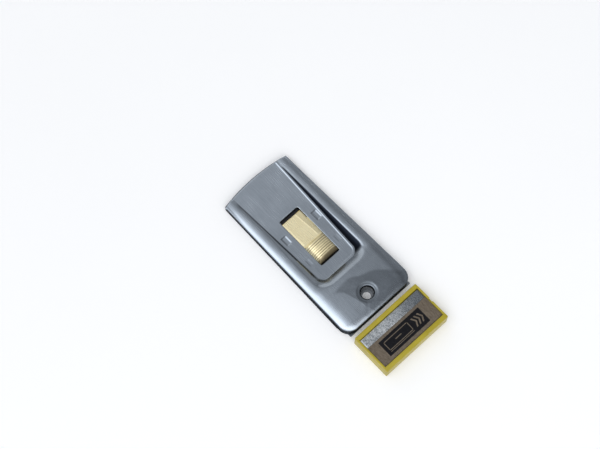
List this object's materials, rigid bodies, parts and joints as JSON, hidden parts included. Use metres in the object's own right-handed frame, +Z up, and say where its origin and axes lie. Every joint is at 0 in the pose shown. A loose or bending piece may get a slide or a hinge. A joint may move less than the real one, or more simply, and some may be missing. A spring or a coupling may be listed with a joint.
{
  "type": "hob scraper",
  "caption": "Flat pressed-steel hob scraper with a sliding single-edge blade worked by a brass thumb leaf, and a yellow case of spare blades behind it.",
  "frame": {"origin": "centre of the hanging hole at the base plate's underside", "axes": "+X towards the blade end, +Z up out of the hanging hole through the shell's eyelet"},
  "size_m": [0.1203, 0.0446, 0.0087],
  "materials": {
    "shell_steel": "fine brushed, nickel plated",
    "plate_steel": "plain rolled sheet",
    "blade_steel": "ground",
    "spine_steel": "dull rolled strip",
    "brass": "satin",
    "case_plastic": "moulded yellow",
    "card": "brown card with black print"
  },
  "bodies": {
    "housing": {"top_shell": "shell_steel", "base_plate": "plate_steel"},
    "carriage": {"blade_carrier": "plate_steel", "blade_stud": "plate_steel", "leaf_rivets": "brass", "fitted_blade": "blade_steel", "fitted_blade_spine": "spine_steel"},
    "thumb": {"thumb_leaf": "brass"},
    "case": {"case_tray": "case_plastic"},
    "spare_1": {"spare_blade_1": "blade_steel", "spare_spine_1": "spine_steel", "blade_sleeve_1": "card"},
    "spare_2": {"spare_blade_2": "blade_steel", "spare_spine_2": "spine_steel", "blade_sleeve_2": "card"},
    "spare_3": {"spare_blade_3": "blade_steel", "spare_spine_3": "spine_steel", "blade_sleeve_3": "card"},
    "spare_4": {"spare_blade_4": "blade_steel", "spare_spine_4": "spine_steel", "blade_sleeve_4": "card"},
    "spare_5": {"spare_blade_5": "blade_steel", "spare_spine_5": "spine_steel", "blade_sleeve_5": "card"}
  },
  "joints": [
    {"name": "blade_slide", "type": "slide", "parent": "housing", "child": "carriage", "axis": [1, 0, 0], "range_m": [0, 0.016]},
    {"name": "thumb_press", "type": "hinge", "parent": "carriage", "child": "thumb", "pos_m": [0.0505, 0, 0.0011], "axis": [0, -1, 0], "range_deg": [0, 1.3], "stiffness_Nm_per_rad": 1, "springref_deg": -0.57},
    {"name": "case_lift", "type": "slide", "parent": "housing", "child": "case", "axis": [0, 0, 1], "range_m": [0, 0.04]},
    {"name": "spare_1_lift", "type": "slide", "parent": "case", "child": "spare_1", "axis": [0, 0, 1], "range_m": [0, 0.012]},
    {"name": "spare_2_lift", "type": "slide", "parent": "spare_1", "child": "spare_2", "axis": [0, 0, 1], "range_m": [0, 0.012]},
    {"name": "spare_3_lift", "type": "slide", "parent": "spare_2", "child": "spare_3", "axis": [0, 0, 1], "range_m": [0, 0.012]},
    {"name": "spare_4_lift", "type": "slide", "parent": "spare_3", "child": "spare_4", "axis": [0, 0, 1], "range_m": [0, 0.012]},
    {"name": "spare_5_lift", "type": "slide", "parent": "spare_4", "child": "spare_5", "axis": [0, 0, 1], "range_m": [0, 0.012]}
  ]
}
